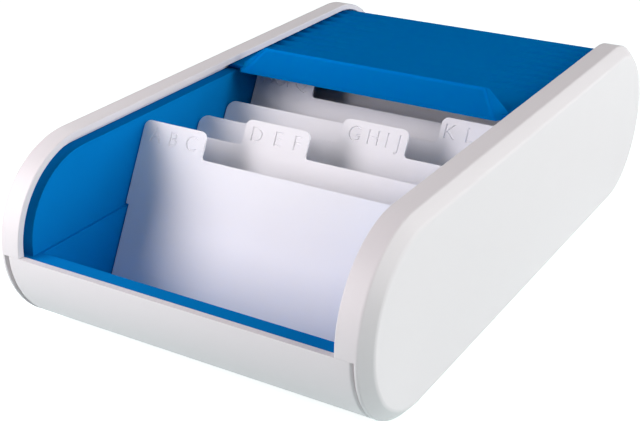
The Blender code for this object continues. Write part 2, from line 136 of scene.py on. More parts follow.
@dataclass(frozen=True)
class MouldedFinish:
    """Injection moulded plastic with a fine satin grain.

    Attributes:
        name: Name of the material.
        colour: Base colour, linear.
        shade: Colour that the base drifts towards in broad soft clouds.
        roughness: Mean roughness of the skin.
        grain_size: Size of the satin grain.
        grain_depth: Height of the grain in the bump.
        sheen_gloss: Specular level of the skin.
        sheen_tint: Colour of its highlights.
        pearl: Share of the skin that mirrors light in the base colour.
        soft_depth: How deep light goes under the skin.
        soft_weight: Share of the light that does so.
        soft_tint: Colour of the light that goes deepest.
        cloud_size: Size of the clouds of shade.
        wear_size: Size of the patches that are smoother or rougher.
        wear_swing: How far their roughness goes up and down.
        broad_detail: Octaves of the clouds and the grain.
        fine_detail: Octaves of the patches.
    """

    name: str
    colour: Colour
    shade: Colour
    roughness: float
    grain_size: float
    grain_depth: float
    sheen_gloss: float = 0.5
    sheen_tint: Colour = (1.0, 1.0, 1.0)
    pearl: float = 0.0
    soft_depth: float = 0.0
    soft_weight: float = 0.0
    soft_tint: Colour = (1.0, 1.0, 1.0)
    cloud_size: ClassVar[float] = 0.05
    wear_size: ClassVar[float] = 0.012
    wear_swing: ClassVar[float] = 0.04
    broad_detail: ClassVar[float] = 2.0
    fine_detail: ClassVar[float] = 3.0

    def material(self) -> bpy.types.Material:
        """Build the node material of this finish.

        Returns:
            The material, all its patterns on Object coordinates.
        """
        made = bpy.data.materials.new(self.name)
        made.use_nodes = True
        tree = made.node_tree
        shader = tree.nodes["Principled BSDF"]
        place = tree.nodes.new("ShaderNodeTexCoord").outputs["Object"]

        clouds = self._noise(tree, place, self.cloud_size, self.broad_detail)
        drift = tree.nodes.new("ShaderNodeMix")
        drift.data_type = "RGBA"
        drift.inputs["A"].default_value = (*self.colour, 1.0)
        drift.inputs["B"].default_value = (*self.shade, 1.0)
        tree.links.new(clouds, drift.inputs["Factor"])
        tree.links.new(drift.outputs["Result"], shader.inputs["Base Color"])

        wear = tree.nodes.new("ShaderNodeMapRange")
        wear.inputs["To Min"].default_value = self.roughness - self.wear_swing
        wear.inputs["To Max"].default_value = self.roughness + self.wear_swing
        patches = self._noise(tree, place, self.wear_size, self.fine_detail)
        tree.links.new(patches, wear.inputs["Value"])
        tree.links.new(wear.outputs["Result"], shader.inputs["Roughness"])

        bump = tree.nodes.new("ShaderNodeBump")
        bump.inputs["Strength"].default_value = 1.0
        bump.inputs["Distance"].default_value = self.grain_depth
        grain = self._noise(tree, place, self.grain_size, self.broad_detail)
        tree.links.new(grain, bump.inputs["Height"])
        tree.links.new(bump.outputs["Normal"], shader.inputs["Normal"])

        shader.inputs["Specular IOR Level"].default_value = self.sheen_gloss
        shader.inputs["Specular Tint"].default_value = (*self.sheen_tint, 1.0)
        shader.inputs["Metallic"].default_value = self.pearl
        shader.inputs["Subsurface Weight"].default_value = self.soft_weight
        shader.inputs["Subsurface Radius"].default_value = self.soft_tint
        shader.inputs["Subsurface Scale"].default_value = self.soft_depth
        return made

    @staticmethod
    def _noise(
        tree: bpy.types.NodeTree, place: bpy.types.NodeSocket, size: float, detail: float
    ) -> bpy.types.NodeSocket:
        """Add a noise pattern.

        Args:
            tree: Node tree that gets it.
            place: Coordinates that it reads.
            size: Size of its lumps.
            detail: Octaves of finer lumps.

        Returns:
            The socket of its value, from 0 to 1.
        """
        noise = tree.nodes.new("ShaderNodeTexNoise")
        noise.inputs["Scale"].default_value = 1.0 / size
        noise.inputs["Detail"].default_value = detail
        tree.links.new(place, noise.inputs["Vector"])
        return noise.outputs["Fac"]


WHITE_SKIN = MouldedFinish(
    name="white_moulding",
    colour=(0.785, 0.745, 0.760),
    shade=(0.765, 0.735, 0.750),
    roughness=0.42,
    grain_size=0.00045,
    grain_depth=0.000006,
)
COVER_SKIN = MouldedFinish(
    name="blue_cover",
    colour=(0.000, 0.154, 0.465),
    shade=(0.000, 0.146, 0.450),
    roughness=0.42,
    grain_size=0.00040,
    grain_depth=0.000006,
    sheen_gloss=0.0,
    sheen_tint=(0.00, 0.40, 1.00),
    pearl=0.14,
    soft_depth=0.0015,
    soft_weight=0.5,
    soft_tint=(0.05, 0.40, 1.00),
)
TRAY_SKIN = MouldedFinish(
    name="blue_tray",
    colour=(0.002, 0.210, 0.575),
    shade=(0.001, 0.200, 0.555),
    roughness=0.40,
    grain_size=0.00040,
    grain_depth=0.000006,
    sheen_gloss=0.0,
    sheen_tint=(0.00, 0.40, 1.00),
    pearl=0.08,
)
FROSTED_SHEET = MouldedFinish(
    name="frosted_sheet",
    colour=(0.960, 0.950, 0.980),
    shade=(0.950, 0.940, 0.975),
    roughness=0.55,
    grain_size=0.00035,
    grain_depth=0.000008,
    sheen_gloss=0.3,
    soft_depth=0.0008,
    soft_weight=0.25,
)


@dataclass(frozen=True)
class SideView:
    """The stadium outline that the box has seen from the side."""

    depth: float = 0.2420
    height: float = 0.0675

    @property
    def radius(self) -> float:
        """Radius of the round ends."""
        return self.height / 2

    @property
    def centre_y(self) -> float:
        """Distance of the round ends' centres from the middle."""
        return self.depth / 2 - self.radius

    @property
    def front_centre(self) -> Point:
        """Centre of the front round end."""
        return (0.0, -self.centre_y, self.radius)

    @property
    def rear_centre(self) -> Point:
        """Centre of the rear round end."""
        return (0.0, self.centre_y, self.radius)

    def front_point(self, inset: float, x: float) -> Point:
        """Foremost point of the outline at an inset."""
        return (x, -self.centre_y - (self.radius - inset), self.radius)

    def angle_of(self, height: float, inset: float = 0.0) -> float:
        """Angle above the horizontal at which an end passes a height."""
        return math.asin((height - self.radius) / (self.radius - inset))


OUTLINE = SideView()


def edges_of(
    owners: Iterable[bmesh.types.BMVert | bmesh.types.BMFace],
) -> list[bmesh.types.BMEdge]:
    """Edges at some vertices or faces, each once, in the same order on every run."""
    rows = (o.link_edges if isinstance(o, bmesh.types.BMVert) else o.edges for o in owners)
    return list(dict.fromkeys(edge for row in rows for edge in row))


def verts_in(geom: Iterable[bmesh.types.BMElem]) -> list[bmesh.types.BMVert]:
    """The vertices among some elements."""
    return [g for g in geom if isinstance(g, bmesh.types.BMVert)]


def edges_in(geom: Iterable[bmesh.types.BMElem]) -> list[bmesh.types.BMEdge]:
    """The edges among some elements."""
    return [g for g in geom if isinstance(g, bmesh.types.BMEdge)]


class Workpiece:
    """A mesh in the making: a bmesh and the operators that shape it."""

    def __init__(self, name: str) -> None:
        """Start with an empty mesh.

        Args:
            name: Name of the piece.
        """
        self.name = name
        self.bm = bmesh.new()

    def wire(
        self,
        corners: Sequence[Corner],
        place: Callable[[float, float], Point],
        closed: bool = False,
        segments: int = 4,
    ) -> list[bmesh.types.BMElem]:
        """Draw a profile as edges and round its corners.

        Args:
            corners: Corners of the profile, in order.
            place: Gives the point in space of a profile's two coordinates.
            closed: Whether the last corner joins the first.
            segments: Edges in each rounded corner.

        Returns:
            The vertices and edges of the wire.
        """
        before = set(self.bm.verts)
        verts = [self.bm.verts.new(place(c.u, c.v)) for c in corners]
        pairs = list(zip(verts, verts[1:])) + ([(verts[-1], verts[0])] if closed else [])
        for pair in pairs:
            self.bm.edges.new(pair)
        for cut in sorted({c.cut for c in corners if c.cut > 0}):
            rounded = [v for v, c in zip(verts, corners) if c.cut == cut]
            bmesh.ops.bevel(
                self.bm, geom=rounded, offset=cut, offset_type="OFFSET", affect="VERTICES",
                segments=segments, profile=0.5, material=-1,
            )
        new = [v for v in self.bm.verts if v not in before]
        return [*new, *edges_of(new)]

    def turn(
        self, geom: Iterable[bmesh.types.BMElem], centre: Point, angle: float, steps: int
    ) -> list[bmesh.types.BMElem]:
        """Sweep a wire round an axis along X.

        Args:
            geom: The wire.
            centre: A point on the axis.
            angle: Angle of the sweep, positive from +Y to +Z.
            steps: Number of steps.

        Returns:
            The wire at the end of the sweep.
        """
        swept = bmesh.ops.spin(
            self.bm, geom=list(geom), cent=centre, axis=(1.0, 0.0, 0.0), angle=angle, steps=steps
        )
        return swept["geom_last"]

    def slide(
        self, geom: Iterable[bmesh.types.BMElem], way: Point, steps: int = 1
    ) -> list[bmesh.types.BMElem]:
        """Sweep a wire straight.

        Args:
            geom: The wire.
            way: Vector of the whole sweep.
            steps: Number of steps.

        Returns:
            The wire at the end of the sweep.
        """
        swept = bmesh.ops.spin(
            self.bm, geom=list(geom), cent=(0.0, 0.0, 0.0), axis=(1.0, 0.0, 0.0),
            dvec=Vector(way) / steps, angle=0.0, steps=steps,
        )
        return swept["geom_last"]

    def rotate(self, geom: Iterable[bmesh.types.BMElem], centre: Point, angle: float) -> None:
        """Turn vertices about an axis along X.

        Args:
            geom: Elements whose vertices turn.
            centre: A point on the axis.
            angle: Angle, positive from +Y to +Z.
        """
        turned = Matrix.Rotation(angle, 3, "X")
        bmesh.ops.rotate(self.bm, verts=verts_in(geom), cent=centre, matrix=turned)

    def thicken(self, wire: Iterable[bmesh.types.BMElem], way: Point) -> None:
        """Fill a closed wire and draw it out to a solid.

        Args:
            wire: The wire.
            way: Vector of the draw.
        """
        first = bmesh.ops.contextual_create(self.bm, geom=edges_in(wire))["faces"]
        grown = bmesh.ops.extrude_face_region(self.bm, geom=first)["geom"]
        bmesh.ops.translate(self.bm, verts=verts_in(grown), vec=way)

    def cut(
        self, point: Sequence[float], normal: Sequence[float], upper: bool, dist: float = 0.0
    ) -> list[bmesh.types.BMEdge]:
        """Cut one side of a plane away.

        Args:
            point: A point on the plane.
            normal: Normal of the plane.
            upper: Whether the side that the normal points to goes, or the other one.
            dist: Distance within which a vertex is on the plane.

        Returns:
            The edges of the cut, which is left open.
        """
        cut = bmesh.ops.bisect_plane(
            self.bm, geom=[*self.bm.verts, *self.bm.edges, *self.bm.faces], dist=dist,
            plane_co=point, plane_no=normal, clear_outer=upper, clear_inner=not upper,
        )
        return edges_in(cut["geom_cut"])

    def close(self) -> list[bmesh.types.BMFace]:
        """Merge doubles and fill every hole.

        Returns:
            The faces that fill the holes.
        """
        bmesh.ops.remove_doubles(self.bm, verts=self.bm.verts, dist=MERGE)
        rim = [e for e in self.bm.edges if e.is_boundary]
        filled = bmesh.ops.holes_fill(self.bm, edges=rim, sides=0)
        bmesh.ops.recalc_face_normals(self.bm, faces=self.bm.faces)
        return filled["faces"]

    def soften(self, edges: Iterable[bmesh.types.BMEdge], cut: float, segments: int = 3) -> None:
        """Round edges.

        Args:
            edges: The edges.
            cut: How far from the edge its rounding starts.
            segments: Faces across the rounding.
        """
        bmesh.ops.bevel(
            self.bm, geom=list(edges), offset=cut, offset_type="OFFSET", affect="EDGES",
            segments=segments, profile=0.5, material=-1, clamp_overlap=True,
        )

    def mirror_x(self) -> None:
        """Turn the mesh into its mirror image left to right."""
        bmesh.ops.scale(self.bm, vec=(-1.0, 1.0, 1.0), verts=self.bm.verts)

    def finish(self, finish: MouldedFinish, crease: float = 32.0) -> bpy.types.Object:
        """Make the object, with its faces outwards and its shading smooth.

        Args:
            finish: Finish of the piece.
            crease: Angle in degrees above which an edge stays sharp.

        Returns:
            The object, at the origin.
        """
        bmesh.ops.recalc_face_normals(self.bm, faces=self.bm.faces)
        mesh = bpy.data.meshes.new(self.name)
        normals = self._corner_normals(math.cos(math.radians(crease)))
        self.bm.to_mesh(mesh)
        self.bm.free()
        mesh.shade_smooth()
        mesh.normals_split_custom_set(normals)
        mesh.materials.append(Palette.of(finish))
        made = bpy.data.objects.new(self.name, mesh)
        bpy.context.scene.collection.objects.link(made)
        return made

    def _corner_normals(self, least: float) -> list[Vector]:
        """Normals that keep broad faces flat and bend over the narrow ones between them.

        Args:
            least: Least cosine between two faces that share their shading.

        Returns:
            A normal for each corner of each face.
        """
        weighed = {face: face.normal * face.calc_area() for face in self.bm.faces}
        normals: list[Vector] = []
        for face in self.bm.faces:
            for vert in face.verts:
                near = [f for f in vert.link_faces if f.normal.dot(face.normal) > least]
                normals.append(sum((weighed[f] for f in near), weighed[face] * MERGE).normalized())
        return normals


class Palette:
    """One Blender material per finish."""

    _made: dict[str, bpy.types.Material] = {}

    @classmethod
    def of(cls, finish: MouldedFinish) -> bpy.types.Material:
        """The material of a finish, made on first use.

        Args:
            finish: The finish.

        Returns:
            Its material.
        """
        if finish.name not in cls._made:
            cls._made[finish.name] = finish.material()
        return cls._made[finish.name]


def settle(piece: bpy.types.Object, body: str, slot: Slot, *nodes: str) -> bpy.types.Object:
    """Tie a finished piece to the frame.

    Args:
        piece: The piece.
        body: Body that it rides on.
        slot: Record slot of its finish; not used.
        *nodes: Nodes that it stands for.

    Returns:
        The piece.
    """
    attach(piece, body)
    if nodes:
        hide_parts(*nodes)
    LOG.info("%s: %d faces", piece.name, len(piece.data.polygons))
    return piece


@dataclass
class SidePanel:
    """White cheek of the box: side face, chamfer, rim over the track, fence and tray rail."""

    side: Side
    half_width: float = 0.0705
    chamfer_run: float = 0.0036
    chamfer_inset: float = 0.0041
    flange: float = 0.0011
    rim_edge: float = 0.0594
    rim_thick: float = 0.0024
    track_deep: float = 0.0048
    fence: float = 0.0626
    seat: float = 0.0025
    rail_from: float = 0.0072
    rail_to: float = 0.0087
    rail_edge: float = 0.0605
    wall: float = 0.0683
    rim_end: float = 0.0336
    face_lap: float = 0.0016
    face_round: float = 0.0008
    ridge_round: float = 0.0005
    flange_round: float = 0.0003
    flange_step: float = 0.0003
    rim_round: float = 0.0004
    rim_under_round: float = 0.00015
    steps: int = 28
    straight_steps: int = 4

    def build(self) -> bpy.types.Object:
        """Sweep the section round the outline, with the rim on the upper half only.

        Returns:
            The panel.
        """
        work = Workpiece(f"{self.side.name.lower()}_side_panel")
        ridge = self.half_width - self.chamfer_run
        flange = ridge - self.flange
        outer = [
            Corner(self.chamfer_inset + self.face_lap, self.half_width),
            Corner(self.chamfer_inset, self.half_width, self.face_round),
            Corner(0.0, ridge, self.ridge_round),
            Corner(0.0, flange + self.flange_step),
        ]
        inner = [
            Corner(self.track_deep, self.fence),
            Corner(self.track_deep, flange),
            Corner(self.rail_from, flange),
            Corner(self.rail_from, self.rail_edge),
            Corner(self.rail_to, self.rail_edge),
            Corner(self.rail_to, self.wall),
        ]
        rim = [
            Corner(0.0, self.rim_edge, self.rim_round),
            Corner(self.rim_thick, self.rim_edge, self.rim_under_round),
            Corner(self.rim_thick, self.fence),
            Corner(self.seat, self.fence),
        ]
        lower = [
            Corner(0.0, flange, self.flange_round),
            Corner(self.seat, flange),
            Corner(self.seat, self.fence),
        ]
        lift = OUTLINE.angle_of(self.rim_end)
        self._sweep(work, outer + rim + inner, -lift, -1)
        self._sweep(work, outer + lower + inner, -lift, 1)
        work.close()
        if self.side is Side.LEFT:
            work.mirror_x()
        piece = work.finish(WHITE_SKIN)
        return settle(piece, Body.BOX.value, Slot.WHITE, f"{self.side.name.lower()}_panel")

    def _sweep(self, work: Workpiece, section: list[Corner], lift: float, way: int) -> None:
        """Sweep a section from the front round to the rear.

        Args:
            work: Mesh in the making.
            section: Profile of inset and x.
            lift: Angle at which the section starts, below the horizontal when positive.
            way: -1 over the top, 1 under the bottom.
        """
        quarter = math.radians(90)
        wire = work.wire(section, OUTLINE.front_point)
        work.rotate(wire, OUTLINE.front_centre, lift)
        arc = quarter + lift if way < 0 else quarter - lift
        wire = work.turn(wire, OUTLINE.front_centre, way * arc, self.steps)
        wire = work.slide(wire, (0.0, OUTLINE.centre_y * 2, 0.0), self.straight_steps)
        work.turn(wire, OUTLINE.rear_centre, way * arc, self.steps)


@dataclass
class BaseTrough:
    """White trough between the panels, from the front apron to the rear one."""

    left: float = -0.0645
    right: float = 0.0652
    wall: float = 0.0022
    top: float = 0.03355
    edge_cut: float = 0.0010
    top_cut: float = 0.0007
    inner_cut: float = 0.0003
    steps: int = 28
    straight_steps: int = 4

    def build(self) -> bpy.types.Object:
        """Sweep the trough's section under the box.

        Returns:
            The trough.
        """
        work = Workpiece("base_trough")
        section = [
            Corner(0.0, self.left, self.edge_cut),
            Corner(0.0, self.right, self.edge_cut),
            Corner(self.wall, self.right, self.inner_cut),
            Corner(self.wall, self.left, self.inner_cut),
        ]
        drop = -OUTLINE.angle_of(self.top)
        arc = math.radians(90) - drop
        wire = work.wire(section, OUTLINE.front_point, closed=True)
        work.rotate(wire, OUTLINE.front_centre, drop)
        wire = work.turn(wire, OUTLINE.front_centre, arc, self.steps)
        wire = work.slide(wire, (0.0, OUTLINE.centre_y * 2, 0.0), self.straight_steps)
        work.turn(wire, OUTLINE.rear_centre, arc, self.steps)
        caps = work.close()
        long_edges = [e for e in edges_of(caps) if e.calc_length() > self.right]
        work.soften(long_edges, self.top_cut)
        return settle(work.finish(WHITE_SKIN), Body.BOX.value, Slot.WHITE, "base_shell")


@dataclass
class CardTray:
    """Blue tray: well, ledges, upper walls and the rail under the cover."""

    edge_cut: float = 0.00035
    flat_within: float = math.radians(0.5)
    sharp_over: float = math.radians(40)
    corner_low: Point = (0.0600, -0.1185, 0.0313)
    corner_high: Point = (0.0623, -0.1157, 0.0328)

    def build(self, node: bpy.types.Object) -> bpy.types.Object:
        """Merge a copy of the frame's tray, soften its edges and fill the ledge's front corners.

        Args:
            node: The frame's tray.

        Returns:
            The tray.
        """
        work = Workpiece("card_tray")
        work.bm.from_mesh(node.data)
        bmesh.ops.remove_doubles(work.bm, verts=work.bm.verts, dist=MERGE)
        bmesh.ops.dissolve_limit(
            work.bm, angle_limit=self.flat_within, verts=work.bm.verts, edges=work.bm.edges
        )
        joined = [e for e in work.bm.edges if e.is_manifold]
        work.soften([e for e in joined if e.calc_face_angle() > self.sharp_over], self.edge_cut)
        low, high = Vector(self.corner_low), Vector(self.corner_high)
        for side in Side:
            made = bmesh.ops.create_cube(work.bm, size=1.0)["verts"]
            bmesh.ops.scale(work.bm, verts=made, vec=high - low)
            middle = (high + low) / 2
            middle.x *= side.value
            bmesh.ops.translate(work.bm, verts=made, vec=middle)
        return settle(work.finish(TRAY_SKIN), Body.BOX.value, Slot.BLUE, "inner_tray")


@dataclass
class RollCover:
    """Ribbed roll cover, along the flat top, round the rear and under the tray."""

    front: float = 0.0286
    half_width: float = 0.0622
    outer: float = 0.0029
    inner: float = 0.0044
    pitch: float = 0.0066
    ribs: int = 37
    groove_depth: float = 0.00135
    groove_half: float = 0.0010
    groove_widens: float = 0.0020
    fade_from: float = 0.0625
    fade_over: float = 0.0300
    least_share: float = 0.07
    columns: int = 40
    column_ease: float = 1.6
    rows_per_rib: int = 12
    crease: float = 40.0

    def build(self) -> list[bpy.types.Object]:
        """Make the flat run, which is tied to no body, and the run round the rear.

        Returns:
            The two pieces.
        """
        flat_ribs = (OUTLINE.centre_y - self.front) / self.pitch
        split = round(flat_ribs)
        flat = self._run("ribbed_cover_top", 0, split)
        rest = self._run("ribbed_cover_rear", split, self.ribs)
        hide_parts("roll_cover")
        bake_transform(flat)
        settle(rest, Body.BOX.value, Slot.BLUE, "roll_cover")
        LOG.info("%s: %d faces", flat.name, len(flat.data.polygons))
        return [flat, rest]

    def _along(self, distance: float, inset: float) -> tuple[float, float]:
        """Point (y, z) at a distance along the track.

        Args:
            distance: Distance back from the lip.
            inset: Inset from the outline.

        Returns:
            The point in the side view.
        """
        top_run = OUTLINE.centre_y - self.front
        bend = math.pi * (OUTLINE.radius - self.inner)
        radius = OUTLINE.radius - inset
        if distance <= top_run:
            return self.front + distance, OUTLINE.height - inset
        if distance <= top_run + bend:
            angle = math.radians(90) - math.pi * (distance - top_run) / bend
            return (
                OUTLINE.centre_y + radius * math.cos(angle),
                OUTLINE.radius + radius * math.sin(angle),
            )
        return OUTLINE.centre_y - (distance - top_run - bend), inset

    def _depth(self, x: float, distance: float) -> float:
        """How far the skin lies below the crown of its rib.

        Args:
            x: Place across the cover.
            distance: Place along the cover.

        Returns:
            The depth.
        """
        place = (distance / self.pitch + 0.5) % 1.0 - 0.5
        off = abs(place) * self.pitch
        side = max(0.0, 1.0 - (self.fade_from - abs(x)) / self.fade_over)
        notch = max(0.0, 1.0 - off / (self.groove_half + self.groove_widens * side))
        share = self.least_share + (1.0 - self.least_share) * side
        return self.groove_depth * share * notch * notch * (3.0 - 2.0 * notch)

    def _run(self, name: str, first: int, last: int) -> bpy.types.Object:
        """One closed run of ribs.

        Args:
            name: Name of the piece.
            first: Rib that it starts with.
            last: Rib that it ends before.

        Returns:
            The object.
        """
        work = Workpiece(name)
        rows = (last - first) * self.rows_per_rib
        bmesh.ops.create_grid(work.bm, x_segments=self.columns, y_segments=rows, size=0.5)
        skin = list(work.bm.verts)
        lower = bmesh.ops.extrude_face_region(work.bm, geom=list(work.bm.faces))["geom"]
        for vert in skin:
            self._place(vert, first, last, True)
        for vert in verts_in(lower):
            self._place(vert, first, last, False)
        return work.finish(COVER_SKIN, self.crease)

    def _place(self, vert: bmesh.types.BMVert, first: int, last: int, top: bool) -> None:
        """Move a grid vertex to its place on the cover.

        Args:
            vert: Vertex of the unit grid.
            first: Rib that the run starts with.
            last: Rib that the run ends before.
            top: Whether it is on the ribbed skin.
        """
        share_x = vert.co.x * 2.0
        eased = math.copysign(1.0 - (1.0 - abs(share_x)) ** self.column_ease, share_x)
        x = eased * self.half_width
        distance = (first + (vert.co.y + 0.5) * (last - first)) * self.pitch
        inset = self.outer + self._depth(x, distance) if top else self.inner
        y, z = self._along(distance, inset)
        vert.co = (x, y, z)


@dataclass
class FingerLip:
    """Raised grip on a thin plate at the cover's front edge, dished in front, hollow behind."""

    front: float = -0.0002
    rear: float = 0.0292
    sunk: float = 0.00004
    low: float = 0.0631
    top: float = 0.0646
    rise: float = 0.0075
    crest_back: float = 0.0074
    back_run: float = 0.0230
    plate_front: float = 0.0030
    plate_half: float = 0.0621
    foot_half: float = 0.0583
    crest_half: float = 0.0471
    corner_top: float = 0.0006
    corner_side: float = 0.0044
    corner_back: float = 0.0056
    border: float = 0.0006
    slope: float = 0.0010
    dish: float = 0.0004
    edge_cut: float = 0.00045
    plate_cut: float = 0.0002
    wall: float = 0.0024
    facing: float = -0.3
    sharp_over: float = math.radians(15)

    @property
    def crest(self) -> float:
        """Height of the crest."""
        return self.top + self.rise

    def _half(self, height: float) -> float:
        """Half width of the wedge at a height."""
        slope = (self.foot_half - self.crest_half) / (self.crest - self.low)
        return self.foot_half - (height - self.low) * slope

    def build(self) -> bpy.types.Object:
        """Shape the wedge from its side profile and set it on its plate.

        Returns:
            The lip.
        """
        work = Workpiece("finger_lip")
        self._wedge(work)
        self._plate(work)
        return settle(work.finish(COVER_SKIN), Body.COVER.value, Slot.BLUE, "cover_lip")

    def _wedge(self, work: Workpiece) -> None:
        """Add the raised grip: a wedge's front and cut corners as a wall, with a dished face.

        Args:
            work: Mesh in the making.
        """
        profile = [
            Corner(self.front, self.low),
            Corner(self.front + self.crest_back, self.crest),
            Corner(self.front + self.back_run, self.top),
            Corner(self.front + self.back_run, self.low),
        ]
        wire = work.wire(profile, lambda y, z: (-1.0, y, z), closed=True)
        work.thicken(wire, (2.0, 0.0, 0.0))
        for vert in work.bm.verts:
            vert.co.x *= self._half(vert.co.z)
        for side in Side:
            self._cut_corner(work, side.value)
        self._shell(work)
        self._dish(work)

    def _cut_corner(self, work: Workpiece, side: int) -> None:
        """Cut one front corner off with a plane, from the crest down to the foot.

        Args:
            work: Mesh in the making.
            side: Sign of the corner's x.
        """
        foot = self._half(self.low)
        high = side * (self.crest_half - self.corner_top)
        top = Vector((high, self.front + self.crest_back, self.crest))
        back = Vector((side * foot, self.front + self.corner_back, self.low))
        fore = Vector((side * (foot - self.corner_side), self.front, self.low))
        normal = (back - top).cross(fore - top).normalized() * -side
        bmesh.ops.contextual_create(work.bm, geom=work.cut(top, normal, upper=True))
        bmesh.ops.recalc_face_normals(work.bm, faces=work.bm.faces)

    def _shell(self, work: Workpiece) -> None:
        """Keep the front face and the cut corners as a wall that stands on a flat foot.

        Args:
            work: Mesh in the making.
        """
        work.bm.normal_update()
        kept = [face for face in work.bm.faces if face.normal.y < self.facing]
        rest = [face for face in work.bm.faces if face not in kept]
        bmesh.ops.delete(work.bm, geom=rest, context="FACES")
        bmesh.ops.solidify(work.bm, geom=kept, thickness=self.wall)
        foot = work.cut((0.0, 0.0, self.low), (0.0, 0.0, 1.0), upper=False, dist=MERGE)
        bmesh.ops.holes_fill(work.bm, edges=foot, sides=0)
        bmesh.ops.recalc_face_normals(work.bm, faces=work.bm.faces)

    def _dish(self, work: Workpiece) -> None:
        """Sink the front face inside its border, then round the wedge's edges.

        Args:
            work: Mesh in the making.
        """
        face = max(work.bm.faces, key=lambda f: f.calc_area() * (f.normal.y < self.facing))
        above = self.low + MERGE
        sharp = [e for e in work.bm.edges if e.calc_face_angle(0.0) > self.sharp_over]
        outer = [e for e in sharp if max(v.co.z for v in e.verts) > above]
        normal = face.normal.copy()
        for width in (self.border, self.slope):
            bmesh.ops.inset_region(
                work.bm, faces=[face], thickness=width, depth=0.0, use_even_offset=True
            )
        bmesh.ops.translate(work.bm, verts=list(face.verts), vec=-normal * self.dish)
        work.soften([e for e in outer if e.is_valid], self.edge_cut)

    def _plate(self, work: Workpiece) -> None:
        """Add the thin plate whose ends run in the tracks.

        Args:
            work: Mesh in the making.
        """
        top = self.top - self.sunk
        size = (self.plate_half * 2, self.rear - self.plate_front, top - self.low)
        middle = (0.0, (self.rear + self.plate_front) / 2, (top + self.low) / 2)
        made = bmesh.ops.create_cube(work.bm, size=1.0)["verts"]
        bmesh.ops.scale(work.bm, verts=made, vec=size)
        bmesh.ops.translate(work.bm, verts=made, vec=middle)
        edges = [e for e in edges_of(made) if e.calc_length() > self.plate_half]
        work.soften([e for e in edges if e.verts[0].co.z > self.low], self.plate_cut)


